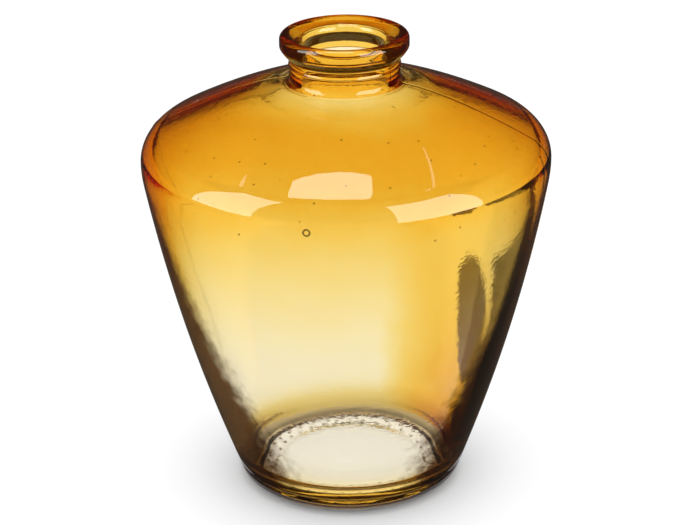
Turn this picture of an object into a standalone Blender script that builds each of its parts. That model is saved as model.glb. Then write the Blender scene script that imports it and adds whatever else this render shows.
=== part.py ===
"""Amber glass bud vase: a heavy clear glass bottle vase and the amber lacquer film sprayed on its outside.

Metres, +Z up. The origin is the centre of the ring that the vase stands on.
"""

from math import cos, pi, radians, sin

import bpy

MM = 0.001

# Driving dimensions, millimetres.
MAX_RADIUS = 70.0
MAX_RADIUS_Z = 118.5
BODY_TOP = (69.4, 112.0)
BODY_FOOT = (40.2, 6.6)
BODY_BULGE = 2.45
HEEL_RADIUS = 5.8
HEEL_BAND_RADIUS = 39.7
PARTING_RING_Z = 6.3
SHOULDER_ARC_RADIUS = 11.3
SHOULDER_ARC_TURN = 62.0
NECK_RADIUS = 18.8
NECK_FOOT_Z = 147.6
NECK_FILLET = 2.3
NECK_RIDGE_Z = 151.4
NECK_RIDGE_HEIGHT = 0.25
LIP_RADIUS = 21.9
LIP_UNDERSIDE_Z = 153.4
LIP_CORNER_RADIUS = 2.0
HEIGHT = 162.0
BORE_TOP_RADIUS = 13.6
BORE_RADIUS = 14.5
BORE_TOP_Z = 158.2
BORE_FOOT_Z = 150.0

# The film of lacquer, drawn thicker than it is so that it stays a solid.
COAT_THICKNESS = 0.2
COAT_GAP = 0.3
COAT_FOOT_Z = 2.0

# The inside of the glass.
SHOULDER_WALL = 4.5
BODY_WALL_TOP = 5.0
BODY_WALL_FOOT = 7.0
FLOOR_Z = 7.0
FLOOR_CENTRE_Z = 8.0
FLOOR_CORNER = 10.0

# The underside.
BEARING_OUTER = 33.9
BEARING_INNER = 31.8
BAND_Z = 0.6
BAND_INNER = 24.8
PUSH_UP_EDGE = 23.2
PUSH_UP_EDGE_Z = 2.2
PUSH_UP_Z = 3.2
STIPPLES_PER_ROW = 32
STIPPLE_ROWS = (26.3, 29.6)
STIPPLE_RADIUS = 0.85
STIPPLE_HEIGHT = 0.35

STEPS = 60


def clear_scene():
    for obj in list(bpy.data.objects):
        bpy.data.objects.remove(obj, do_unlink=True)


def arc(centre, radius, start, end, count):
    """Points on a circle, angles in degrees from +R towards +Z, both ends included."""
    points = []
    for i in range(count + 1):
        a = radians(start + (end - start) * i / count)
        points.append((centre[0] + radius * cos(a), centre[1] + radius * sin(a)))
    return points


def bezier(p0, p1, p2, p3, count):
    points = []
    for i in range(count + 1):
        t = i / count
        a, b, c, d = (1 - t) ** 3, 3 * t * (1 - t) ** 2, 3 * t * t * (1 - t), t ** 3
        points.append(
            (
                a * p0[0] + b * p1[0] + c * p2[0] + d * p3[0],
                a * p0[1] + b * p1[1] + c * p2[1] + d * p3[1],
            )
        )
    return points


def bulged(start, end, bulge, count):
    """A shallow parabola over the chord from start to end, bulging to its right."""
    run = (end[0] - start[0], end[1] - start[1])
    length = (run[0] ** 2 + run[1] ** 2) ** 0.5
    right = (-run[1] / length, run[0] / length)
    points = []
    for i in range(count + 1):
        t = i / count
        out = 4 * bulge * t * (1 - t)
        points.append(
            (start[0] + run[0] * t + right[0] * out, start[1] + run[1] * t + right[1] * out)
        )
    return points


def join(*runs):
    """The runs one after another, leaving out a point that repeats the one before."""
    points = []
    for run in runs:
        for point in run:
            if points and abs(point[0] - points[-1][0]) + abs(point[1] - points[-1][1]) < 0.05:
                continue
            points.append(point)
    return points


def offset(points, distance):
    """The polyline moved square to itself, to the left of its direction when positive."""
    moved = []
    for i, point in enumerate(points):
        before = points[max(i - 1, 0)]
        after = points[min(i + 1, len(points) - 1)]
        run = (after[0] - before[0], after[1] - before[1])
        length = (run[0] ** 2 + run[1] ** 2) ** 0.5
        moved.append((point[0] - run[1] / length * distance, point[1] + run[0] / length * distance))
    return moved


def lip_profile():
    """From the inner edge of the lip's top over the bead to the top of the neck."""
    corner = (LIP_RADIUS - LIP_CORNER_RADIUS, HEIGHT - LIP_CORNER_RADIUS)
    return join(
        [(15.6, 160.5), (17.6, 161.3)],
        arc(corner, LIP_CORNER_RADIUS, 100.0, 0.0, 5),
        [(LIP_RADIUS, 157.9), (21.6, 156.8), (20.7, 155.6)],
        [(19.5, 154.3), (NECK_RADIUS, LIP_UNDERSIDE_Z)],
    )


def neck_profile():
    """Down the neck, past its mould ridge and round the fillet at its foot."""
    fillet = (NECK_RADIUS + NECK_FILLET, NECK_FOOT_Z)
    return join(
        [(NECK_RADIUS, NECK_RIDGE_Z + 0.6)],
        [(NECK_RADIUS + NECK_RIDGE_HEIGHT, NECK_RIDGE_Z)],
        [(NECK_RADIUS, NECK_RIDGE_Z - 0.6)],
        arc(fillet, NECK_FILLET, 180.0, 262.0, 4),
    )


def shoulder_profile():
    """From the foot of the neck out over the dome and round to the widest ring."""
    centre = (MAX_RADIUS - SHOULDER_ARC_RADIUS, MAX_RADIUS_Z)
    turn = arc(centre, SHOULDER_ARC_RADIUS, SHOULDER_ARC_TURN, 0.0, 6)
    start = (NECK_RADIUS + 2.0, 145.3)
    slope = radians(90.0 - SHOULDER_ARC_TURN)
    outer = turn[0]
    near_edge = (outer[0] - 14.0 * cos(slope), outer[1] + 14.0 * sin(slope))
    near_neck = (start[0] + 12.0 * cos(radians(8.0)), start[1] - 12.0 * sin(radians(8.0)))
    return join(bezier(start, near_neck, near_edge, outer, 7), turn)


def body_profile():
    """From the widest ring down the tapering side to the mould's parting ring."""
    return join(
        bezier((MAX_RADIUS, MAX_RADIUS_Z), (70.0, 116.2), (69.8, 114.0), BODY_TOP, 2),
        bulged(BODY_TOP, BODY_FOOT, BODY_BULGE, 7),
        [(BODY_FOOT[0], PARTING_RING_Z)],
    )


def heel_profile(lowest):
    """From the parting ring round the heel, down to the given height."""
    centre = (HEEL_BAND_RADIUS - HEEL_RADIUS, HEEL_RADIUS)
    points = arc(centre, HEEL_RADIUS, 0.0, -90.0, 5)
    return [point for point in points if point[1] > lowest - 0.05]


def outside_profile(lowest):
    return join(
        lip_profile(),
        neck_profile(),
        shoulder_profile(),
        body_profile(),
        heel_profile(lowest),
    )


def underside_profile():
    dome = []
    for i in range(4):
        t = i / 3
        radius = PUSH_UP_EDGE * (1 - t)
        dome.append((radius, PUSH_UP_Z - (PUSH_UP_Z - PUSH_UP_EDGE_Z) * (1 - t) ** 2))
    return join(
        [(BEARING_OUTER, 0.0), (BEARING_INNER, 0.0), (BEARING_INNER - 0.6, BAND_Z)],
        [(BAND_INNER, BAND_Z)],
        dome,
    )


def inside_profile():
    """From the middle of the floor up the inner wall to the inner edge of the lip."""
    foot_radius = BODY_FOOT[0] + 5.6 - BODY_WALL_FOOT
    corner = (foot_radius - FLOOR_CORNER, FLOOR_Z + FLOOR_CORNER)
    shoulder = offset(shoulder_profile()[2:-1], -SHOULDER_WALL)
    inner_top = (BODY_TOP[0] - BODY_WALL_TOP, BODY_TOP[1])
    wall_foot = (foot_radius + 1.1, corner[1] + 3.0)
    return join(
        [(0.0, FLOOR_CENTRE_Z), (17.0, FLOOR_CENTRE_Z - 0.4), (corner[0], FLOOR_Z)],
        arc(corner, FLOOR_CORNER, -75.0, -10.0, 5),
        bulged(wall_foot, inner_top, -BODY_BULGE * 0.8, 6),
        list(reversed(shoulder)),
        [(17.6, 141.6), (15.6, 142.6), (14.7, 144.4), (BORE_RADIUS, 146.6)],
        [(BORE_RADIUS, BORE_FOOT_Z), (BORE_TOP_RADIUS, BORE_TOP_Z), (14.6, 160.0)],
    )


def lathe(name, points, collection):
    mesh = bpy.data.meshes.new(name)
    vertices = [(r * MM, 0.0, z * MM) for r, z in points]
    mesh.from_pydata(vertices, [(i, i + 1) for i in range(len(points) - 1)], [])
    obj = bpy.data.objects.new(name, mesh)
    collection.objects.link(obj)
    screw = obj.modifiers.new("turn", "SCREW")
    screw.axis = "Z"
    screw.angle = 2 * pi
    screw.steps = STEPS
    screw.render_steps = STEPS
    screw.use_merge_vertices = True
    screw.merge_threshold = 0.00001
    return obj


def material(name, colour, roughness):
    made = bpy.data.materials.new(name)
    made.use_nodes = True
    shader = made.node_tree.nodes["Principled BSDF"]
    shader.inputs["Base Color"].default_value = (*colour, 1.0)
    shader.inputs["Roughness"].default_value = roughness
    shader.inputs["Metallic"].default_value = 0.0
    return made


def stipples(collection):
    """Two staggered rows of low raised dots, in one mesh that is joined to the underside."""
    sides = 8
    vertices = []
    faces = []
    for row, ring in enumerate(STIPPLE_ROWS):
        for i in range(STIPPLES_PER_ROW):
            turn = 2 * pi * (i + 0.5 * row) / STIPPLES_PER_ROW
            middle = (ring * cos(turn), ring * sin(turn))
            first = len(vertices)
            levels = ((BAND_Z + 0.5, 1.0), (BAND_Z, 1.0), (BAND_Z - STIPPLE_HEIGHT, 0.55))
            for z, share in levels:
                for k in range(sides):
                    a = turn + 2 * pi * (k + 0.5) / sides
                    x = middle[0] + STIPPLE_RADIUS * share * cos(a)
                    y = middle[1] + STIPPLE_RADIUS * share * sin(a)
                    vertices.append((x * MM, y * MM, z * MM))
            faces.append(tuple(first + k for k in range(sides)))
            faces.append(tuple(first + 2 * sides + k for k in reversed(range(sides))))
            for level in range(2):
                for k in range(sides):
                    a = first + level * sides + k
                    b = first + level * sides + (k + 1) % sides
                    faces.append((a, a + sides, b + sides, b))
    mesh = bpy.data.meshes.new("stipple_dots")
    mesh.from_pydata(vertices, [], faces)
    obj = bpy.data.objects.new("stipple_dots", mesh)
    obj.hide_render = True
    obj.display_type = "WIRE"
    collection.objects.link(obj)
    return obj


def glass_vessel(collection, helpers):
    skin = offset(outside_profile(0.9), -(COAT_THICKNESS + COAT_GAP))
    points = join(inside_profile(), skin, underside_profile())
    obj = lathe("glass_vessel", points, collection)
    dots = obj.modifiers.new("stipples", "BOOLEAN")
    dots.operation = "UNION"
    dots.solver = "EXACT"
    dots.object = stipples(helpers)
    obj.data.materials.append(material("clear_glass", (0.90, 0.93, 0.88), 0.04))
    return obj


def amber_coat(collection):
    obj = lathe("amber_coat", outside_profile(COAT_FOOT_Z), collection)
    shell = obj.modifiers.new("film", "SOLIDIFY")
    shell.thickness = COAT_THICKNESS * MM
    shell.offset = -1.0
    shell.use_even_offset = True
    shell.use_rim = True
    obj.data.materials.append(material("amber_lacquer", (0.80, 0.40, 0.05), 0.08))
    return obj


def main():
    clear_scene()
    scene = bpy.context.scene
    vase = bpy.data.collections.new("glass_bud_vase")
    scene.collection.children.link(vase)
    helpers = bpy.data.collections.new("helpers")
    helpers.hide_render = True
    scene.collection.children.link(helpers)
    glass_vessel(vase, helpers)
    amber_coat(vase)


main()
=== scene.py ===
from math import cos, pi, radians, sin

import bpy
import numpy as np
from mathutils import Matrix


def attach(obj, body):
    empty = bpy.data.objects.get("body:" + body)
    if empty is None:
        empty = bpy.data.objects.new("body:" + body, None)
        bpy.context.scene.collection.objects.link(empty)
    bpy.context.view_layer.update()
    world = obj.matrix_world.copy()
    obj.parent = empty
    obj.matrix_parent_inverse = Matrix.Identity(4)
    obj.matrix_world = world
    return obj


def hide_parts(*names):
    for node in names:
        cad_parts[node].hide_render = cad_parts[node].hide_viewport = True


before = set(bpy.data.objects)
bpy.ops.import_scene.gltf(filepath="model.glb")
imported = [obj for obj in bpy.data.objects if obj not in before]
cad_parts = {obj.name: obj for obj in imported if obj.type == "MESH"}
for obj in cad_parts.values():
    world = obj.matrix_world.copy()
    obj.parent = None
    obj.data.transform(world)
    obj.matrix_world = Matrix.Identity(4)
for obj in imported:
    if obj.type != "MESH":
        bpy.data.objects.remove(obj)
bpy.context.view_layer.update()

MM = 0.001

# The outline of the CAD solids, in millimetres, drawn here with finer steps.
MAX_RADIUS = 70.0
MAX_RADIUS_Z = 118.5
BODY_TOP = (69.4, 112.0)
BODY_FOOT = (40.2, 6.6)
BODY_BULGE = 2.45
HEEL_RADIUS = 5.8
HEEL_BAND_RADIUS = 39.7
PARTING_RING_Z = 6.3
SHOULDER_ARC_RADIUS = 11.3
SHOULDER_ARC_TURN = 62.0
NECK_RADIUS = 18.8
NECK_FOOT_Z = 147.6
NECK_FILLET = 2.3
NECK_RIDGE_HEIGHT = 0.25
LIP_RADIUS = 21.9
HEIGHT = 162.0
BORE_TOP_RADIUS = 13.6
BORE_RADIUS = 14.5
BORE_FOOT_Z = 150.0
SHOULDER_WALL = 4.5
BODY_WALL_TOP = 5.0
BODY_WALL_FOOT = 7.0
FLOOR_Z = 7.0
FLOOR_CENTRE_Z = 8.0
FLOOR_CORNER = 10.0
BEARING_OUTER = 33.9
BAND_Z = 0.6
BAND_OUTER = 30.7
BAND_INNER = 24.8
BAND_STEP = 0.18
PUSH_UP_Z = 1.9
STIPPLES_PER_ROW = 32
STIPPLE_ROWS = (26.3, 29.6)
STIPPLE_RADIUS = 0.82
STIPPLE_HEIGHT = 0.30

COAT_THICKNESS = 0.12
COAT_CLEARANCE = 0.03
COAT_FOOT_Z = 2.4
SEAM_AZIMUTH = radians(-12.5)
SEAM_HEIGHT = 0.16
SEAM_HALF_WIDTH = 0.34
COLUMNS = 240
INNER_RELIEF = 0.11
OUTER_RELIEF = 0.0315
OUTER_CLEARANCE = 0.05


# ---------------------------------------------------------------- outline


def arc(centre, radius, start, end, count):
    angles = [radians(start + (end - start) * i / count) for i in range(count + 1)]
    return [(centre[0] + radius * cos(a), centre[1] + radius * sin(a)) for a in angles]


def bezier(p0, p1, p2, p3, count):
    points = []
    for i in range(count + 1):
        t = i / count
        a, b, c, d = (1 - t) ** 3, 3 * t * (1 - t) ** 2, 3 * t * t * (1 - t), t**3
        points.append(tuple(a * p0[k] + b * p1[k] + c * p2[k] + d * p3[k] for k in (0, 1)))
    return points


def bulged(start, end, bulge, count):
    run = (end[0] - start[0], end[1] - start[1])
    length = (run[0] ** 2 + run[1] ** 2) ** 0.5
    right = (-run[1] / length, run[0] / length)
    points = []
    for i in range(count + 1):
        t = i / count
        out = 4 * bulge * t * (1 - t)
        points.append(
            (start[0] + run[0] * t + right[0] * out, start[1] + run[1] * t + right[1] * out)
        )
    return points


def join(*runs):
    points = []
    for run in runs:
        for point in run:
            if points and abs(point[0] - points[-1][0]) + abs(point[1] - points[-1][1]) < 0.02:
                continue
            points.append(tuple(point))
    return points


def rounded(points, rounds=2):
    """Corner cutting: a smooth curve near the points, its ends kept."""
    for _ in range(rounds):
        cut = [points[0]]
        for a, b in zip(points[:-1], points[1:]):
            cut.append((a[0] * 0.75 + b[0] * 0.25, a[1] * 0.75 + b[1] * 0.25))
            cut.append((a[0] * 0.25 + b[0] * 0.75, a[1] * 0.25 + b[1] * 0.75))
        cut.append(points[-1])
        points = cut
    return points


def offset(points, distance):
    """The polyline moved square to itself, to its left when positive."""
    p = np.array(points)
    run = np.gradient(p, axis=0)
    run /= np.linalg.norm(run, axis=1)[:, None]
    moved = p + np.stack([-run[:, 1], run[:, 0]], 1) * distance
    return [tuple(q) for q in moved]


def lip_profile():
    corner = (LIP_RADIUS - 2.0, HEIGHT - 2.0)
    under = [(LIP_RADIUS, 158.4), (LIP_RADIUS, 157.4), (20.9, 155.9)]
    under += [(19.5, 154.3), (NECK_RADIUS, 153.8), (NECK_RADIUS, 152.7)]
    return join(
        rounded([(14.55, 159.9), (14.9, 160.2), (15.6, 160.5), (17.6, 161.3)], 2),
        rounded([(17.6, 161.3), (18.7, 161.85), (19.55, 161.97)], 1),
        arc(corner, 2.0, 100.0, 0.0, 12),
        rounded(under, 3),
    )


def neck_profile():
    fillet = (NECK_RADIUS + NECK_FILLET, NECK_FOOT_Z)
    ridge = NECK_RADIUS + NECK_RIDGE_HEIGHT
    return join(
        rounded(
            [(NECK_RADIUS, 152.4), (NECK_RADIUS, 151.9), (ridge, 151.5), (ridge, 151.3)], 2
        ),
        rounded([(ridge, 151.3), (NECK_RADIUS + 0.05, 150.9), (NECK_RADIUS, 150.4)], 2),
        arc(fillet, NECK_FILLET, 180.0, 262.0, 12),
    )


def shoulder_profile():
    centre = (MAX_RADIUS - SHOULDER_ARC_RADIUS, MAX_RADIUS_Z)
    turn = arc(centre, SHOULDER_ARC_RADIUS, SHOULDER_ARC_TURN, 0.0, 26)
    start = (NECK_RADIUS + 2.0, 145.3)
    slope = radians(90.0 - SHOULDER_ARC_TURN)
    outer = turn[0]
    near_edge = (outer[0] - 14.0 * cos(slope), outer[1] + 14.0 * sin(slope))
    near_neck = (start[0] + 12.0 * cos(radians(8.0)), start[1] - 12.0 * sin(radians(8.0)))
    return join(bezier(start, near_neck, near_edge, outer, 26), turn)


def body_profile():
    return join(
        bezier((MAX_RADIUS, MAX_RADIUS_Z), (70.0, 116.2), (69.8, 114.0), BODY_TOP, 5),
        bulged(BODY_TOP, (BODY_FOOT[0] + 0.28, BODY_FOOT[1] + 0.9), BODY_BULGE, 34),
        rounded(
            [
                (BODY_FOOT[0] + 0.28, BODY_FOOT[1] + 0.9),
                (BODY_FOOT[0] + 0.05, PARTING_RING_Z + 0.5),
                (BODY_FOOT[0], PARTING_RING_Z),
                (HEEL_BAND_RADIUS + 0.06, PARTING_RING_Z - 0.2),
                (HEEL_BAND_RADIUS, HEEL_RADIUS),
            ],
            2,
        ),
    )


def heel_profile():
    centre = (HEEL_BAND_RADIUS - HEEL_RADIUS, HEEL_RADIUS)
    return arc(centre, HEEL_RADIUS, 0.0, -90.0, 18)


def outside_profile():
    return join(
        lip_profile(), neck_profile(), shoulder_profile(), body_profile(), heel_profile()
    )


def inside_profile():
    """From the middle of the floor up the inner wall to the inner edge of the lip."""
    foot_radius = BODY_FOOT[0] + 5.6 - BODY_WALL_FOOT
    corner = (foot_radius - FLOOR_CORNER, FLOOR_Z + FLOOR_CORNER)
    dome = shoulder_profile()
    keep = offset(dome, -SHOULDER_WALL)[6:-2]
    inner_top = (BODY_TOP[0] - BODY_WALL_TOP, BODY_TOP[1])
    wall_foot = (foot_radius + 1.1, corner[1] + 3.0)
    foot = rounded(arc(corner, FLOOR_CORNER, -75.0, -10.0, 12) + [wall_foot], 1)
    floor_radii = (3.0, 6.0, 9.0, 12.0, 15.0, 18.0, 22.0, 26.0)
    neck = [(17.6, 141.6), (15.6, 142.6), (14.7, 144.4), (BORE_RADIUS, 146.6)]
    neck += [(BORE_RADIUS, BORE_FOOT_Z), (14.2, 153.0), (13.8, 155.8)]
    mouth = [neck[-1], (13.5, 157.4), (BORE_TOP_RADIUS, 158.8), (14.0, 159.6), (14.55, 159.9)]
    return join(
        [(0.0, FLOOR_CENTRE_Z)],
        [(r, FLOOR_CENTRE_Z - 0.0016 * r * r) for r in floor_radii],
        foot,
        bulged(wall_foot, inner_top, -BODY_BULGE * 0.8, 26),
        list(reversed(keep)),
        rounded([keep[0]] + neck, 2),
        rounded(mouth, 2),
    )


# ---------------------------------------------------------------- surface relief


def ripples(seed, count, low, high):
    """A fixed set of slow waves over (azimuth, height), whole turns round the axis."""
    rng = np.random.default_rng(seed)
    waves = []
    for _ in range(count):
        turns = int(rng.integers(low, high + 1))
        rise = rng.uniform(-1.0, 1.0) * 0.022
        waves.append((turns, rise, rng.uniform(0, 2 * pi), rng.uniform(0.5, 1.0)))
    return waves


INNER_RIPPLES = ripples(3, 9, 1, 9)
OUTER_RIPPLES = ripples(11, 8, 3, 16)


def relief(waves, azimuth, z):
    """Height of the waves at that azimuth and height above the foot."""
    total = np.zeros_like(azimuth)
    for turns, rise, phase, size in waves:
        total = total + size * np.sin(turns * azimuth + rise * z * 2 * pi + phase)
    return total / len(waves) ** 0.5


def between(z, low, high, soft):
    """1 between low and high, easing to 0 over the soft distance outside them."""
    up = np.clip((z - low + soft) / soft, 0, 1)
    down = np.clip((high + soft - z) / soft, 0, 1)
    return (up * up * (3 - 2 * up)) * (down * down * (3 - 2 * down))


def seam(azimuth, r, z):
    """Height of the two mould seams, opposite each other, as thin rounded ridges."""
    total = np.zeros_like(azimuth)
    for turn in (0.0, pi):
        away = (azimuth - SEAM_AZIMUTH - turn + pi) % (2 * pi) - pi
        total += np.exp(-((away * r / SEAM_HALF_WIDTH) ** 2))
    return SEAM_HEIGHT * total * between(z, 7.0, 152.5, 1.5)


def azimuths():
    """Even columns, with closer ones on the two seams."""
    found = [2 * pi * i / COLUMNS for i in range(COLUMNS)]
    for turn in (0.0, pi):
        middle = SEAM_AZIMUTH + turn
        found = [a for a in found if abs((a - middle + pi) % (2 * pi) - pi) > 0.021]
        found += [(middle + d) % (2 * pi) for d in (-0.016, -0.0105, -0.007, -0.0045, -0.0022)]
        found += [(middle + d) % (2 * pi) for d in (0.0, 0.0022, 0.0045, 0.007, 0.0105, 0.016)]
    return np.array(sorted(found))


AZIMUTHS = azimuths()


def circle(radius, z, turns=AZIMUTHS):
    return np.stack([radius * np.cos(turns), radius * np.sin(turns), np.full_like(turns, z)], 1)


def outer_ring(r, z):
    wavy = between(np.full_like(AZIMUTHS, z), 16.0, 141.0, 10.0)
    waves = relief(OUTER_RIPPLES, AZIMUTHS, z) * OUTER_RELIEF
    return circle(r + (waves - OUTER_CLEARANCE) * wavy + seam(AZIMUTHS, r, z), z)


def inner_ring(r, z):
    wavy = between(np.full_like(AZIMUTHS, z), 24.0, 132.0, 14.0)
    return circle(r + relief(INNER_RIPPLES, AZIMUTHS, z) * INNER_RELIEF * wavy, z)


# ---------------------------------------------------------------- meshes


class Lathe:
    """Rings of points joined by faces, going down the outside or up the inside."""

    def __init__(self):
        self.points = []
        self.faces = []
        self.slots = []
        self.last = None

    def add_points(self, points):
        first = len(self.points)
        self.points += [tuple(p) for p in np.atleast_2d(points)]
        return list(range(first, len(self.points)))

    def join(self, one, two, slot):
        """Faces between two rings, whose counts match, or differ three to one, or are one."""
        n, m = len(one), len(two)
        if n == m:
            for i in range(n):
                j = (i + 1) % n
                self.faces.append((one[i], two[i], two[j], one[j]))
                self.slots.append(slot)
        elif m == 3 * n:
            for i in range(n):
                j = (i + 1) % n
                fine = [two[(3 * i + k) % m] for k in range(4)]
                for k in range(3):
                    self.faces.append((one[i] if k < 2 else one[j], fine[k], fine[k + 1]))
                    self.slots.append(slot)
                self.faces.append((one[i], fine[2], one[j]))
                self.slots.append(slot)
        elif m == 1:
            for i in range(n):
                self.faces.append((one[i], two[0], one[(i + 1) % n]))
                self.slots.append(slot)
        elif n == 1:
            for i in range(m):
                self.faces.append((one[0], two[i], two[(i + 1) % m]))
                self.slots.append(slot)

    def ring(self, points, slot=0):
        new = self.add_points(points)
        if self.last is not None:
            self.join(self.last, new, slot)
        self.last = new
        return new

    def object(self, name):
        mesh = bpy.data.meshes.new(name)
        mesh.from_pydata([(x * MM, y * MM, z * MM) for x, y, z in self.points], [], self.faces)
        mesh.polygons.foreach_set("material_index", self.slots)
        mesh.polygons.foreach_set("use_smooth", [True] * len(self.faces))
        mesh.update()
        obj = bpy.data.objects.new(name, mesh)
        bpy.context.scene.collection.objects.link(obj)
        return obj


def thirds(ring):
    """The ring with each side cut in three, the new points on its straight sides."""
    after = np.roll(ring, -1, axis=0)
    fine = np.stack([ring, ring * 2 / 3 + after / 3, ring / 3 + after * 2 / 3], 1)
    return fine.reshape(-1, 3)


def stipple_drop(points):
    """How far each point of the underside is pushed down by the stippling."""
    drop = np.zeros(len(points))
    for row, ring in enumerate(STIPPLE_ROWS):
        for i in range(STIPPLES_PER_ROW):
            turn = 2 * pi * (i + 0.5 * row) / STIPPLES_PER_ROW
            away = np.hypot(points[:, 0] - ring * cos(turn), points[:, 1] - ring * sin(turn))
            t = np.clip(away / STIPPLE_RADIUS, 0, 1)
            drop = np.maximum(drop, STIPPLE_HEIGHT * (1 - t * t) ** 0.9)
    return drop


def underside(lathe, heel_ring):
    """From the bearing ring in over the stippled band to the middle of the push-up."""
    after = np.append(AZIMUTHS[1:], AZIMUTHS[0] + 2 * pi)
    fine_turns = np.stack(
        [AZIMUTHS, (2 * AZIMUTHS + after) / 3, (AZIMUTHS + 2 * after) / 3], 1
    ).reshape(-1)
    stations = [(33.3, 0.0), (32.9, 0.03), (32.4, 0.11), (31.8, 0.25), (31.3, 0.39), (30.95, 0.51)]
    stations += [(BAND_OUTER - BAND_STEP * i, BAND_Z) for i in range(31)]
    stations += [(24.9, 0.62), (24.5, 0.67), (24.0, 0.76), (23.0, 0.92), (21.5, 1.11), (19.5, 1.30)]
    stations += [(17.0, 1.47), (14.0, 1.62), (9.0, 1.78), (4.0, 1.87)]
    lathe.last = heel_ring
    lathe.ring(thirds(circle(BEARING_OUTER, 0.0)))
    for r, z in stations:
        ring = circle(r, z, fine_turns)
        if BAND_INNER <= r <= BAND_OUTER:
            ring[:, 2] -= stipple_drop(ring)
        lathe.ring(ring)
    lathe.ring([(0.0, 0.0, PUSH_UP_Z)])


def build_vessel():
    """The glass as one closed surface, just inside the lacquer where there is any."""
    lathe = Lathe()
    for r, z in inside_profile():
        lathe.ring([(0.0, 0.0, z)] if r < 0.01 else inner_ring(r, z))
    skin = offset(outside_profile(), -(COAT_THICKNESS + COAT_CLEARANCE))
    heel = [p for p in skin[1:] if p[1] > 0.25]
    for r, z in heel:
        lathe.ring(outer_ring(r, z), slot=1 if z > COAT_FOOT_Z else 0)
    underside(lathe, lathe.last)
    return lathe.object("vessel_glass")


def build_coat():
    """The lacquer as a closed thin shell, from the rim of the mouth to the heel."""
    lathe = Lathe()
    skin = [p for p in outside_profile() if p[1] > COAT_FOOT_Z]
    back = [p for p in offset(outside_profile(), -COAT_THICKNESS) if p[1] > COAT_FOOT_Z]
    outer_first = None
    for r, z in skin[2:]:
        ring = lathe.ring(outer_ring(r, z), slot=0)
        outer_first = outer_first or ring
    for r, z in reversed(back[2:]):
        lathe.ring(outer_ring(r, z), slot=1)
    lathe.join(lathe.last, outer_first, 1)
    return lathe.object("amber_lacquer_film")


# ---------------------------------------------------------------- shader helpers


def new_material(name):
    mat = bpy.data.materials.new(name)
    mat.use_nodes = True
    tree = mat.node_tree
    tree.nodes.clear()
    out = tree.nodes.new("ShaderNodeOutputMaterial")
    return mat, tree, out


def node(tree, kind, **values):
    """A node with its properties or sockets set by name."""
    made = tree.nodes.new(kind)
    for key, value in values.items():
        if hasattr(made, key) and key not in made.inputs:
            setattr(made, key, value)
        else:
            made.inputs[key].default_value = value
    return made


def feed(tree, socket, value):
    """Sets the socket to a number or a colour, or links another node's output to it."""
    if isinstance(value, bpy.types.NodeSocket):
        tree.links.new(value, socket)
    else:
        socket.default_value = value


def math(tree, operation, *inputs):
    """A Math node whose inputs are numbers or other nodes' outputs."""
    made = tree.nodes.new("ShaderNodeMath")
    made.operation = operation
    for socket, value in zip(made.inputs, inputs):
        feed(tree, socket, value)
    return made.outputs[0]


def ease(tree, value, span, start=0.0, end=1.0):
    """Goes smoothly from start to end as the value crosses the span."""
    made = node(tree, "ShaderNodeMapRange", interpolation_type="SMOOTHSTEP")
    made.inputs["From Min"].default_value = span[0]
    made.inputs["From Max"].default_value = span[1]
    made.inputs["To Min"].default_value = start
    made.inputs["To Max"].default_value = end
    feed(tree, made.inputs["Value"], value)
    return made.outputs["Result"]


def noise(tree, coords, scale, detail=2.0, roughness=0.5):
    made = node(tree, "ShaderNodeTexNoise", Scale=scale, Detail=detail, Roughness=roughness)
    tree.links.new(coords, made.inputs["Vector"])
    return made.outputs["Fac"]


def swing(tree, coords, scale, reach):
    """A rough noise of that scale, from minus to plus about a third of the reach."""
    return math(
        tree, "MULTIPLY", math(tree, "SUBTRACT", noise(tree, coords, scale, 3.0), 0.5), reach
    )


def split_xyz(tree, coords):
    made = node(tree, "ShaderNodeSeparateXYZ")
    tree.links.new(coords, made.inputs["Vector"])
    return made.outputs["X"], made.outputs["Y"], made.outputs["Z"]


def object_coords(tree):
    return node(tree, "ShaderNodeTexCoord").outputs["Object"]


def from_axis(tree, x, y):
    squares = math(tree, "ADD", math(tree, "MULTIPLY", x, x), math(tree, "MULTIPLY", y, y))
    return math(tree, "SQRT", squares)


def mix_colours(tree, share, first, second, blend="MIX"):
    made = node(tree, "ShaderNodeMix", data_type="RGBA", blend_type=blend)
    feed(tree, made.inputs[0], share)
    feed(tree, made.inputs[6], first)
    feed(tree, made.inputs[7], second)
    return made.outputs[2]


def mix_shaders(tree, share, first, second):
    made = node(tree, "ShaderNodeMixShader")
    tree.links.new(share, made.inputs[0])
    tree.links.new(first, made.inputs[1])
    tree.links.new(second, made.inputs[2])
    return made.outputs[0]


def backfacing(tree):
    return node(tree, "ShaderNodeNewGeometry").outputs["Backfacing"]


# ---------------------------------------------------------------- lacquer

# Height above the foot, millimetres, and the film's optical density there.
FILM_DENSITY = (
    (0.0, 0.50),
    (6.0, 0.45),
    (12.0, 0.18),
    (19.0, 0.05),
    (32.0, 0.035),
    (50.0, 0.05),
    (72.0, 0.10),
    (90.0, 0.19),
    (108.0, 0.34),
    (124.0, 0.58),
    (140.0, 0.74),
    (146.0, 0.56),
    (162.0, 0.56),
)
# What one unit of density lets through, red, green and blue.
FILM_BASE = (0.89, 0.368, 0.0091)

# From here on lengths are in metres, as in the shaders' object coordinates.
FILM_TOP = 0.17
# The cloudy edge of the colour: how far it wanders, and the heights where it starts to.
CLOUD_SCALE = 24.0
CLOUD_REACH = 0.024
CLOUD_HEIGHTS = (0.010, 0.045)
# Painted amber shadow: the film is denser low on the right of the back, for the vase's
# amber shadow on the floor seen through it.
AMBER_SHADOW_DENSITY = 0.78
AMBER_SHADOW_RIGHT = (0.014, 0.040)
AMBER_SHADOW_BACK = (-0.012, 0.012)
AMBER_SHADOW_HEIGHTS = (0.008, 0.082)
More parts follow.
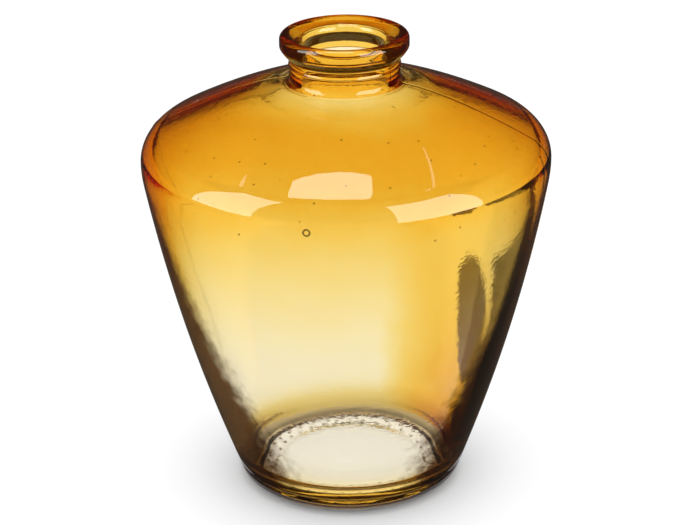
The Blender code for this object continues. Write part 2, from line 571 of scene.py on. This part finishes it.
# The share of the film that is left behind, on top of the lip, at the back of the neck,
# and round the foot of the neck, and where. Round the foot of the neck the thinner film
# is a painted yellow highlight.
REAR_SHARE = 0.42
REAR_BACK = (0.005, 0.060)
LIP_SHARE = 0.12
LIP_REACH = (0.0180, 0.0212)
LIP_FOOT_Z = 0.1585
NAPE_SHARE = 0.22
NAPE_BACK = (-0.002, 0.012)
NAPE_MIDDLE_Z = 0.1470
NAPE_HALF_HEIGHT = 0.0045
NECK_HIGHLIGHT_SHARE = 0.40
NECK_HIGHLIGHT_REACH = (0.021, 0.044)
NECK_HIGHLIGHT_HEIGHTS = (0.1200, 0.1455)
# How uneven the film is: fine speckle, wider mottle, and the share without either.
SPECKLE = (900.0, 0.16)
MOTTLE = (160.0, 0.14)
EVEN_SHARE = 0.85
# How much denser the film is where it is met nearly edge on, and how much painted shade
# darkens it there.
SLANT_DENSITY = 1.4
SLANT_PAINTED_SHADE = 0.62
# Painted shade: the brown that the outline of the vase is darkened to where it is met edge
# on, and how edge on that is: more so higher up.
EDGE_SHADE_TINT = (0.14, 0.075, 0.038, 1.0)
EDGE_FACING = 0.34
EDGE_RISE = 4.2
EDGE_RISE_LIMITS = (0.125, 0.50)
EDGE_SOFTNESS = 0.09
EDGE_RAGGED = (260.0, 0.16)
# Seeds on the shoulder, and one blister in front, whose dark rim is painted shade.
SEED_SCALE = 210.0
SEED_SIZE = 0.09
SEED_SHARE = 0.5
SEED_FOOT_Z = 0.1120
SEED_DARKNESS = 0.48
BLISTER_AT = (-0.0129, -0.0688, 0.1178)
BLISTER_RADIUS = 0.00105
BLISTER_RIM = 0.00033
BLISTER_RIM_SHADE = 0.72


def facing(tree):
    """0 where a surface is met square on, 1 where it is met edge on."""
    return node(tree, "ShaderNodeLayerWeight", Blend=0.5).outputs["Facing"]


def density_by_height(tree, level):
    curve = node(tree, "ShaderNodeFloatCurve")
    tree.links.new(math(tree, "DIVIDE", level, FILM_TOP), curve.inputs["Value"])
    points = curve.mapping.curves[0].points
    while len(points) < len(FILM_DENSITY):
        points.new(0.5, 0.5)
    for point, (height, density) in zip(points, FILM_DENSITY):
        point.location = (height * MM / FILM_TOP, density)
        point.handle_type = "AUTO_CLAMPED"
    curve.mapping.update()
    return curve.outputs[0]


# Painted amber shadow: denser film low on the right of the back.
def amber_shadow_patch(tree, x, y, z, cloud):
    right = ease(tree, math(tree, "ADD", x, cloud), AMBER_SHADOW_RIGHT)
    fading = ease(tree, z, AMBER_SHADOW_HEIGHTS, AMBER_SHADOW_DENSITY, 0.0)
    return math(tree, "MULTIPLY", math(tree, "MULTIPLY", right, fading), ease(tree, y, AMBER_SHADOW_BACK))


def thin_places(tree, x, y, z, cloud):
    """The share of the film that is there: less behind, on the lip and round the neck, where the
    thinning round its foot paints a highlight.
    """
    rear = ease(tree, y, REAR_BACK, 1.0, REAR_SHARE)
    reach = from_axis(tree, x, y)
    lip = ease(tree, reach, LIP_REACH, LIP_SHARE, 1.0)
    below_lip = math(tree, "LESS_THAN", z, LIP_FOOT_Z)
    share = math(tree, "MULTIPLY", math(tree, "MAXIMUM", lip, below_lip), rear)
    nape = ease(tree, y, NAPE_BACK, 1.0, NAPE_SHARE)
    from_nape = math(tree, "ABSOLUTE", math(tree, "SUBTRACT", z, NAPE_MIDDLE_Z))
    off_nape = math(tree, "GREATER_THAN", from_nape, NAPE_HALF_HEIGHT)
    share = math(tree, "MULTIPLY", share, math(tree, "MAXIMUM", nape, off_nape))
    wander = math(tree, "ADD", reach, math(tree, "MULTIPLY", cloud, 0.4))
    # Painted highlight: thinner film round the foot of the neck.
    neck_highlight = ease(tree, wander, NECK_HIGHLIGHT_REACH, NECK_HIGHLIGHT_SHARE, 1.0)
    below_neck_highlight = math(tree, "LESS_THAN", z, NECK_HIGHLIGHT_HEIGHTS[0])
    above_neck_highlight = math(tree, "GREATER_THAN", z, NECK_HIGHLIGHT_HEIGHTS[1])
    off_neck_highlight = math(tree, "MAXIMUM", above_neck_highlight, below_neck_highlight)
    return math(tree, "MULTIPLY", share, math(tree, "MAXIMUM", neck_highlight, off_neck_highlight))


def film_density(tree):
    """Coordinates, the lacquer's density there, and the painted shade that darkens it where it is
    met edge on.
    """
    coords = object_coords(tree)
    x, y, z = split_xyz(tree, coords)
    cloud = swing(tree, coords, CLOUD_SCALE, CLOUD_REACH)
    wander = math(tree, "MULTIPLY", cloud, ease(tree, z, CLOUD_HEIGHTS))
    by_height = density_by_height(tree, math(tree, "ADD", z, wander))
    there = math(tree, "MULTIPLY", by_height, thin_places(tree, x, y, z, cloud))
    total = math(tree, "ADD", there, amber_shadow_patch(tree, x, y, z, cloud))
    speckle = math(tree, "MULTIPLY", noise(tree, coords, SPECKLE[0], 1.0), SPECKLE[1])
    mottle = math(tree, "MULTIPLY", noise(tree, coords, MOTTLE[0], 2.0), MOTTLE[1])
    uneven = math(tree, "ADD", math(tree, "ADD", speckle, mottle), EVEN_SHARE)
    slant = math(tree, "POWER", facing(tree), 4.0)
    longer = math(tree, "ADD", math(tree, "MULTIPLY", slant, SLANT_DENSITY), 1.0)
    density = math(tree, "MULTIPLY", total, math(tree, "MULTIPLY", uneven, longer))
    # Painted shade: the film is darkened where it is met edge on.
    shade = math(tree, "SUBTRACT", 1.0, math(tree, "MULTIPLY", slant, SLANT_PAINTED_SHADE))
    return coords, density, shade


def painted_edge_shade(tree, coords):
    """1 on the painted shade down each side of the vase, where the film is met edge on: wide at the
    foot, thin at the shoulder.
    """
    height = split_xyz(tree, coords)[2]
    rise = math(tree, "MINIMUM", math(tree, "MULTIPLY", height, EDGE_RISE), EDGE_RISE_LIMITS[1])
    rise = math(tree, "MAXIMUM", rise, EDGE_RISE_LIMITS[0])
    ragged = swing(tree, coords, *EDGE_RAGGED)
    middle = math(tree, "ADD", rise, EDGE_FACING)
    past = math(tree, "SUBTRACT", math(tree, "ADD", facing(tree), ragged), middle)
    return ease(tree, past, (-EDGE_SOFTNESS, EDGE_SOFTNESS))


def specks(tree, coords):
    """1 where the film is clean, less on fine seeds, and less on the rim of one small blister, whose
    dark ring is painted shade.
    """
    cells = node(tree, "ShaderNodeTexVoronoi", Scale=SEED_SCALE)
    tree.links.new(coords, cells.inputs["Vector"])
    pick = node(tree, "ShaderNodeSeparateColor")
    tree.links.new(cells.outputs["Color"], pick.inputs[0])
    chosen = math(tree, "GREATER_THAN", pick.outputs[0], SEED_SHARE)
    high = math(tree, "GREATER_THAN", split_xyz(tree, coords)[2], SEED_FOOT_Z)
    chosen = math(tree, "MULTIPLY", chosen, high)
    near = math(tree, "LESS_THAN", cells.outputs["Distance"], SEED_SIZE)
    seed = math(tree, "MULTIPLY", near, chosen)
    apart = node(tree, "ShaderNodeVectorMath", operation="DISTANCE")
    tree.links.new(coords, apart.inputs[0])
    apart.inputs[1].default_value = BLISTER_AT
    from_rim = math(tree, "ABSOLUTE", math(tree, "SUBTRACT", apart.outputs["Value"], BLISTER_RADIUS))
    # Painted shade on the rim of the blister.
    blister = math(tree, "LESS_THAN", from_rim, BLISTER_RIM)
    seed = math(tree, "MULTIPLY", seed, SEED_DARKNESS)
    blister = math(tree, "MULTIPLY", blister, BLISTER_RIM_SHADE)
    return math(tree, "SUBTRACT", 1.0, math(tree, "MAXIMUM", seed, blister))


def film_colour(tree, density, shade, passes):
    """The colour left after so many passes through the lacquer, times the shade, which is painted
    shade where the film is met edge on.
    """
    join = node(tree, "ShaderNodeCombineColor")
    for channel, base in zip(join.inputs, FILM_BASE):
        power = math(tree, "MULTIPLY", density, float(passes))
        left = math(tree, "MULTIPLY", math(tree, "POWER", base, power), shade)
        tree.links.new(left, channel)
    return join.outputs[0]


# ---------------------------------------------------------------- glass and film materials

GLASS_IOR = 1.5
INSIDE_WAVE = 0.035
OUTSIDE_WAVE = 0.010
INSIDE_GRAIN = 520.0
OUTSIDE_GRAIN = 420.0
# The glass is all but clear, the ring it stands on is painted amber, for the amber light
# that reaches it through the coated wall, and the tips of the stippling are darker brown.
CLEAR_GLASS = (1.0, 0.972, 0.925, 1.0)
AMBER_LIT_GLASS = (0.72, 0.40, 0.10, 1.0)
BROWN_TIP_GLASS = (0.20, 0.10, 0.03, 1.0)
AMBER_LIGHT_REACH = (0.0285, 0.0345)
AMBER_LIGHT_TOP_Z = 0.0030
AMBER_LIGHT_RAGGED = (420.0, 0.006)
TIPS_TOP_Z = 0.00050
TIPS_REACH = 0.0306


def surface_bump(tree, coords, grain, strength):
    """Fire-polished glass: a slow wave with a fine orange-peel grain on it."""
    slow = noise(tree, coords, 60.0, 2.0)
    drawn = node(tree, "ShaderNodeMapping")
    drawn.inputs["Scale"].default_value = (1.0, 1.0, 1.9)
    tree.links.new(coords, drawn.inputs["Vector"])
    fine = noise(tree, drawn.outputs[0], grain, 2.0)
    height = math(tree, "ADD", slow, math(tree, "MULTIPLY", fine, 0.55))
    bump = node(tree, "ShaderNodeBump", Strength=strength, Distance=0.001)
    tree.links.new(height, bump.inputs["Height"])
    return bump.outputs["Normal"]


def bare_colour(tree, coords):
    x, y, z = split_xyz(tree, coords)
    reach = from_axis(tree, x, y)
    ragged = math(tree, "ADD", reach, swing(tree, coords, *AMBER_LIGHT_RAGGED))
    under = math(tree, "LESS_THAN", z, AMBER_LIGHT_TOP_Z)
    # Painted amber light on the ring the vase stands on.
    amber_light = math(tree, "MULTIPLY", ease(tree, ragged, AMBER_LIGHT_REACH), under)
    low = math(tree, "LESS_THAN", z, TIPS_TOP_Z)
    tips = math(tree, "MULTIPLY", low, math(tree, "LESS_THAN", reach, TIPS_REACH))
    colour = mix_colours(tree, amber_light, CLEAR_GLASS, AMBER_LIT_GLASS)
    return mix_colours(tree, tips, colour, BROWN_TIP_GLASS)


def glass_material(name):
    """Bare glass, met from either side: the inside, the bore, the heel and the underside."""
    mat, tree, out = new_material(name)
    coords = object_coords(tree)
    shader = node(tree, "ShaderNodeBsdfPrincipled")
    tree.links.new(bare_colour(tree, coords), shader.inputs["Base Color"])
    shader.inputs["Roughness"].default_value = 0.0
    shader.inputs["IOR"].default_value = GLASS_IOR
    shader.inputs["Transmission Weight"].default_value = 1.0
    normal = surface_bump(tree, coords, INSIDE_GRAIN, INSIDE_WAVE)
    tree.links.new(normal, shader.inputs["Normal"])
    tree.links.new(shader.outputs[0], out.inputs["Surface"])
    return mat


def coated_glass_material(name):
    """Glass under the lacquer: light turned back inside it has gone through the film twice."""
    mat, tree, out = new_material(name)
    coords, density, shade = film_density(tree)
    normal = surface_bump(tree, coords, OUTSIDE_GRAIN, OUTSIDE_WAVE)
    enter = node(tree, "ShaderNodeBsdfRefraction", IOR=GLASS_IOR, Roughness=0.0)
    leave = node(tree, "ShaderNodeBsdfRefraction", IOR=GLASS_IOR, Roughness=0.0)
    turned = node(tree, "ShaderNodeBsdfGlossy", Roughness=0.0)
    # The shade in this colour is painted shade where the surface is met edge on.
    tree.links.new(film_colour(tree, density, shade, 2), turned.inputs["Color"])
    share = node(tree, "ShaderNodeFresnel", IOR=GLASS_IOR)
    for shader in (enter, leave, turned, share):
        tree.links.new(normal, shader.inputs["Normal"])
    inside = mix_shaders(tree, share.outputs[0], leave.outputs[0], turned.outputs[0])
    both = mix_shaders(tree, backfacing(tree), enter.outputs[0], inside)
    tree.links.new(both, out.inputs["Surface"])
    return mat


def film_material(name):
    """The lacquer's face: a white gloss over what the film lets through."""
    mat, tree, out = new_material(name)
    coords, density, shade = film_density(tree)
    normal = surface_bump(tree, coords, OUTSIDE_GRAIN, OUTSIDE_WAVE)
    front = math(tree, "SUBTRACT", 1.0, backfacing(tree))
    shade = math(tree, "MULTIPLY", shade, specks(tree, coords))
    colour = film_colour(tree, density, shade, 1)
    # Painted shade: the film darkens to brown at the outline, where it is met edge on.
    edge = math(tree, "MULTIPLY", painted_edge_shade(tree, coords), front)
    clear = node(tree, "ShaderNodeBsdfTransparent")
    tree.links.new(mix_colours(tree, edge, colour, EDGE_SHADE_TINT, "MULTIPLY"), clear.inputs["Color"])
    gloss = node(tree, "ShaderNodeBsdfGlossy", Roughness=0.02)
    share = node(tree, "ShaderNodeFresnel", IOR=GLASS_IOR)
    for shader in (gloss, share):
        tree.links.new(normal, shader.inputs["Normal"])
    glossy = math(tree, "MULTIPLY", share.outputs[0], front)
    tree.links.new(
        mix_shaders(tree, glossy, clear.outputs[0], gloss.outputs[0]), out.inputs["Surface"]
    )
    return mat


def film_back_material(name):
    """The lacquer's inner face, which the front has already coloured."""
    mat, tree, out = new_material(name)
    clear = node(tree, "ShaderNodeBsdfTransparent")
    tree.links.new(clear.outputs[0], out.inputs["Surface"])
    return mat


# ---------------------------------------------------------------- stage


def plain_material(name, colour, roughness=0.9):
    mat, tree, out = new_material(name)
    shader = node(tree, "ShaderNodeBsdfPrincipled")
    shader.inputs["Base Color"].default_value = (*colour, 1.0)
    shader.inputs["Roughness"].default_value = roughness
    tree.links.new(shader.outputs[0], out.inputs["Surface"])
    return mat


def glow_material(name, colour, strength):
    mat, tree, out = new_material(name)
    glow = node(tree, "ShaderNodeEmission", Strength=strength)
    glow.inputs["Color"].default_value = (*colour, 1.0)
    tree.links.new(glow.outputs[0], out.inputs["Surface"])
    return mat


FLOOR_RADIUS = 6.0
FLOOR_CORNERS = 96


def build_floor():
    mesh = bpy.data.meshes.new("floor")
    turns = [2 * pi * i / FLOOR_CORNERS for i in range(FLOOR_CORNERS)]
    points = [(FLOOR_RADIUS * cos(a), FLOOR_RADIUS * sin(a), -0.0002) for a in turns]
    mesh.from_pydata(points, [], [tuple(range(FLOOR_CORNERS))])
    floor = bpy.data.objects.new("floor", mesh)
    bpy.context.scene.collection.objects.link(floor)
    mesh.materials.append(plain_material("floor_paper", (0.9, 0.9, 0.9)))


def studio_card(name, points, faces, material, through=False):
    """A card that shows only in reflections, and through the glass if asked."""
    mesh = bpy.data.meshes.new(name)
    mesh.from_pydata(points, [], faces)
    card = bpy.data.objects.new(name, mesh)
    bpy.context.scene.collection.objects.link(card)
    mesh.materials.append(material)
    card.visible_camera = False
    card.visible_diffuse = False
    card.visible_transmission = through
    card.visible_shadow = False


def floor_card(name, corners, material):
    """A flat card just above the floor, seen through the glass."""
    points = [(x, y, 0.0004) for x, y in corners]
    studio_card(name, points, [tuple(range(len(corners)))], material, through=True)


SKY_RADIUS = 1.6
SKY_CENTRE_Z = 0.12


def on_sky(turn, rise):
    """The point of the sky dome at that azimuth, clockwise from the back, and height."""
    a, up = radians(turn), radians(rise)
    flat = SKY_RADIUS * cos(up)
    return (flat * sin(a), flat * cos(a), SKY_CENTRE_Z + SKY_RADIUS * sin(up))


def sky_panel(name, turns, rises, material, steps=8):
    """A panel of the sky dome between two azimuths and two heights, in degrees."""
    points = []
    for i in range(steps + 1):
        rise = rises[0] + (rises[1] - rises[0]) * i / steps
        for j in range(steps + 1):
            points.append(on_sky(turns[0] + (turns[1] - turns[0]) * j / steps, rise))
    row = steps + 1
    faces = [
        (i * row + j, i * row + j + 1, (i + 1) * row + j + 1, (i + 1) * row + j)
        for i in range(steps)
        for j in range(steps)
    ]
    studio_card(name, points, faces, material)


def sky_arc(name, spots, width, material):
    """A thin curved strip of the sky dome along its spots, narrowing to its ends."""
    points = []
    last = len(spots) - 1
    for i, (turn, rise) in enumerate(spots):
        fullness = min(1.0, 1.6 * min(i, last - i) / last)
        half = 0.5 * width * (0.35 + 0.65 * fullness)
        points += [on_sky(turn, rise - half), on_sky(turn, rise + half)]
    faces = [(2 * i, 2 * i + 2, 2 * i + 3, 2 * i + 1) for i in range(last)]
    studio_card(name, points, faces, material)


DOME_STRENGTH = 1.22
ROOM_STRENGTH = 0.05
HORIZON_STRENGTH = 1.15
HORIZON_SPAN = (-0.005, 0.030)
HORIZON_COLOUR = (1.0, 0.98, 0.95, 1.0)
ROOM_COLOUR = (1.0, 0.72, 0.50, 1.0)


def build_world():
    """A white dome for the floor and the backdrop, and a dim warm room for the glass, which
    sees a bright horizon through itself."""
    world = bpy.data.worlds.new("studio")
    bpy.context.scene.world = world
    world.use_nodes = True
    tree = world.node_tree
    tree.nodes.clear()
    out = tree.nodes.new("ShaderNodeOutputWorld")
    path = node(tree, "ShaderNodeLightPath")
    dome = node(tree, "ShaderNodeBackground", Strength=DOME_STRENGTH)
    dome.inputs["Color"].default_value = (1.0, 1.0, 1.0, 1.0)
    direction = node(tree, "ShaderNodeTexCoord").outputs["Generated"]
    up = split_xyz(tree, direction)[2]
    fade = ease(tree, up, HORIZON_SPAN, HORIZON_STRENGTH, ROOM_STRENGTH)
    dusk = ease(tree, up, HORIZON_SPAN)
    room = node(tree, "ShaderNodeBackground")
    tree.links.new(mix_colours(tree, dusk, HORIZON_COLOUR, ROOM_COLOUR), room.inputs["Color"])
    through = math(tree, "MULTIPLY", fade, path.outputs["Is Transmission Ray"])
    tree.links.new(math(tree, "MAXIMUM", through, ROOM_STRENGTH), room.inputs["Strength"])
    lit = math(tree, "MAXIMUM", path.outputs["Is Camera Ray"], path.outputs["Diffuse Depth"])
    lit = math(tree, "MINIMUM", lit, 1.0)
    tree.links.new(mix_shaders(tree, lit, room.outputs[0], dome.outputs[0]), out.inputs["Surface"])


SOFTBOX_STRENGTH = 7.6
STRIP_STRENGTH = 3.0
TOP_BOX = ((-0.3525, 0.45), (0.162, 0.4125), (0.1905, -0.2205), (-0.5025, -0.1155))
TOP_BOX_Z = 1.63
RIGHT_STRIP = ((34.0, 56.0), (39.0, 58.5), (48.0, 62.5), (62.0, 65.5), (80.0, 67.0))
LEFT_STRIP = ((-44.0, 56.5), (-48.0, 57.5), (-54.0, 58.3))


def build_lights():
    box = glow_material("softbox", (1.0, 0.99, 0.95), SOFTBOX_STRENGTH)
    sky_panel("softbox_left", (-129.0, -90.0), (2.0, 57.0), box)
    sky_panel("softbox_right", (104.0, 154.0), (-4.0, 50.0), box)
    studio_card("softbox_top", [(x, y, TOP_BOX_Z) for x, y in TOP_BOX], [(0, 1, 2, 3)], box)
    strip = glow_material("strip", (1.0, 0.98, 0.94), STRIP_STRENGTH)
    sky_arc("strip_right", RIGHT_STRIP, 1.1, strip)
    sky_arc("strip_left", LEFT_STRIP, 1.4, strip)


def annulus(inner, outer, z):
    """Points and faces of a flat ring round the axis."""
    n = len(AZIMUTHS)
    points = [(r * cos(a), r * sin(a), z) for r in (inner, outer) for a in AZIMUTHS]
    return points, [(i, (i + 1) % n, n + (i + 1) % n, n + i) for i in range(n)]


def build_cards():
    """Painted shade: dark shapes on the floor at the right, seen only through the glass, and a dim
    floor that only reflections meet.
    """
    black = glow_material("painted_shade_black", (1.0, 0.9, 0.8), 0.03)
    brown = glow_material("painted_shade_brown", (1.0, 0.74, 0.52), 0.14)
    dim = glow_material("card_dim", (1.0, 0.80, 0.62), 0.08)
    # Painted shade on the floor at the right of the vase, which only the glass sees.
    right = [(0.043, 0.010), (0.052, 0.035), (0.066, 0.062), (0.085, 0.100), (0.088, 0.165)]
    right += [(0.30, 0.165), (0.30, -0.02), (0.043, -0.02)]
    floor_card("painted_shade_right", right, black)
    narrow = [(0.056, 0.052), (0.064, 0.054), (0.075, 0.080), (0.080, 0.115), (0.079, 0.150)]
    narrow += [(0.074, 0.176), (0.067, 0.184), (0.060, 0.170), (0.056, 0.120), (0.053, 0.080)]
    floor_card("painted_shade_narrow", narrow, brown)
    studio_card("floor_in_reflections", *annulus(0.042, 5.5, 0.0006), dim)


SHADE_PROFILE = ((39.5, 28.0), (39.9, 5.0), (37.5, 1.6), (34.5, 0.1))


def build_contact_shade():
    """A ring that only the floor's light meets, dark outside and bright inside: the soft
    grey shadow that the foot of the vase leaves on the paper."""
    mat, tree, out = new_material("contact_shade")
    dark = node(tree, "ShaderNodeEmission", Strength=0.0)
    lit = node(tree, "ShaderNodeEmission", Strength=DOME_STRENGTH)
    both = mix_shaders(tree, backfacing(tree), dark.outputs[0], lit.outputs[0])
    tree.links.new(both, out.inputs["Surface"])
    lathe = Lathe()
    for r, z in SHADE_PROFILE:
        lathe.ring(circle(r, z))
    ring = lathe.object("contact_shade")
    ring.data.materials.append(mat)
    ring.visible_camera = False
    ring.visible_glossy = False
    ring.visible_transmission = False


CAMERA_AT = (0.0, -0.780, 0.409)
CAMERA_LOOKS_DOWN = 22.973
CAMERA_ROLL = -0.85


def build_camera():
    data = bpy.data.cameras.new("camera")
    data.lens = 125.25
    data.sensor_width = 36.0
    data.shift_x = 0.0034
    data.clip_start = 0.01
    data.clip_end = 20.0
    camera = bpy.data.objects.new("camera", data)
    bpy.context.scene.collection.objects.link(camera)
    pitch = Matrix.Rotation(radians(90.0 - CAMERA_LOOKS_DOWN), 4, "X")
    roll = Matrix.Rotation(radians(CAMERA_ROLL), 4, "Z")
    camera.matrix_world = Matrix.Translation(CAMERA_AT) @ pitch @ roll
    bpy.context.scene.camera = camera


# ---------------------------------------------------------------- assembly

build_camera()
vessel = build_vessel()
vessel.data.materials.append(glass_material("clear_glass"))
vessel.data.materials.append(coated_glass_material("clear_glass_under_film"))
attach(vessel, "root")
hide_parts("glass_vessel")

coat = build_coat()
coat.data.materials.append(film_material("amber_lacquer"))
coat.data.materials.append(film_back_material("amber_lacquer_back"))
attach(coat, "root")
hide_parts("amber_coat")

build_floor()
build_world()
build_lights()
build_cards()
build_contact_shade()
for piece in (vessel, coat):
    piece.visible_diffuse = False
    piece.visible_shadow = False

scene = bpy.context.scene
scene.view_settings.view_transform = "Standard"
scene.cycles.max_bounces = 24
scene.cycles.transmission_bounces = 24
scene.cycles.glossy_bounces = 12
scene.cycles.transparent_max_bounces = 40
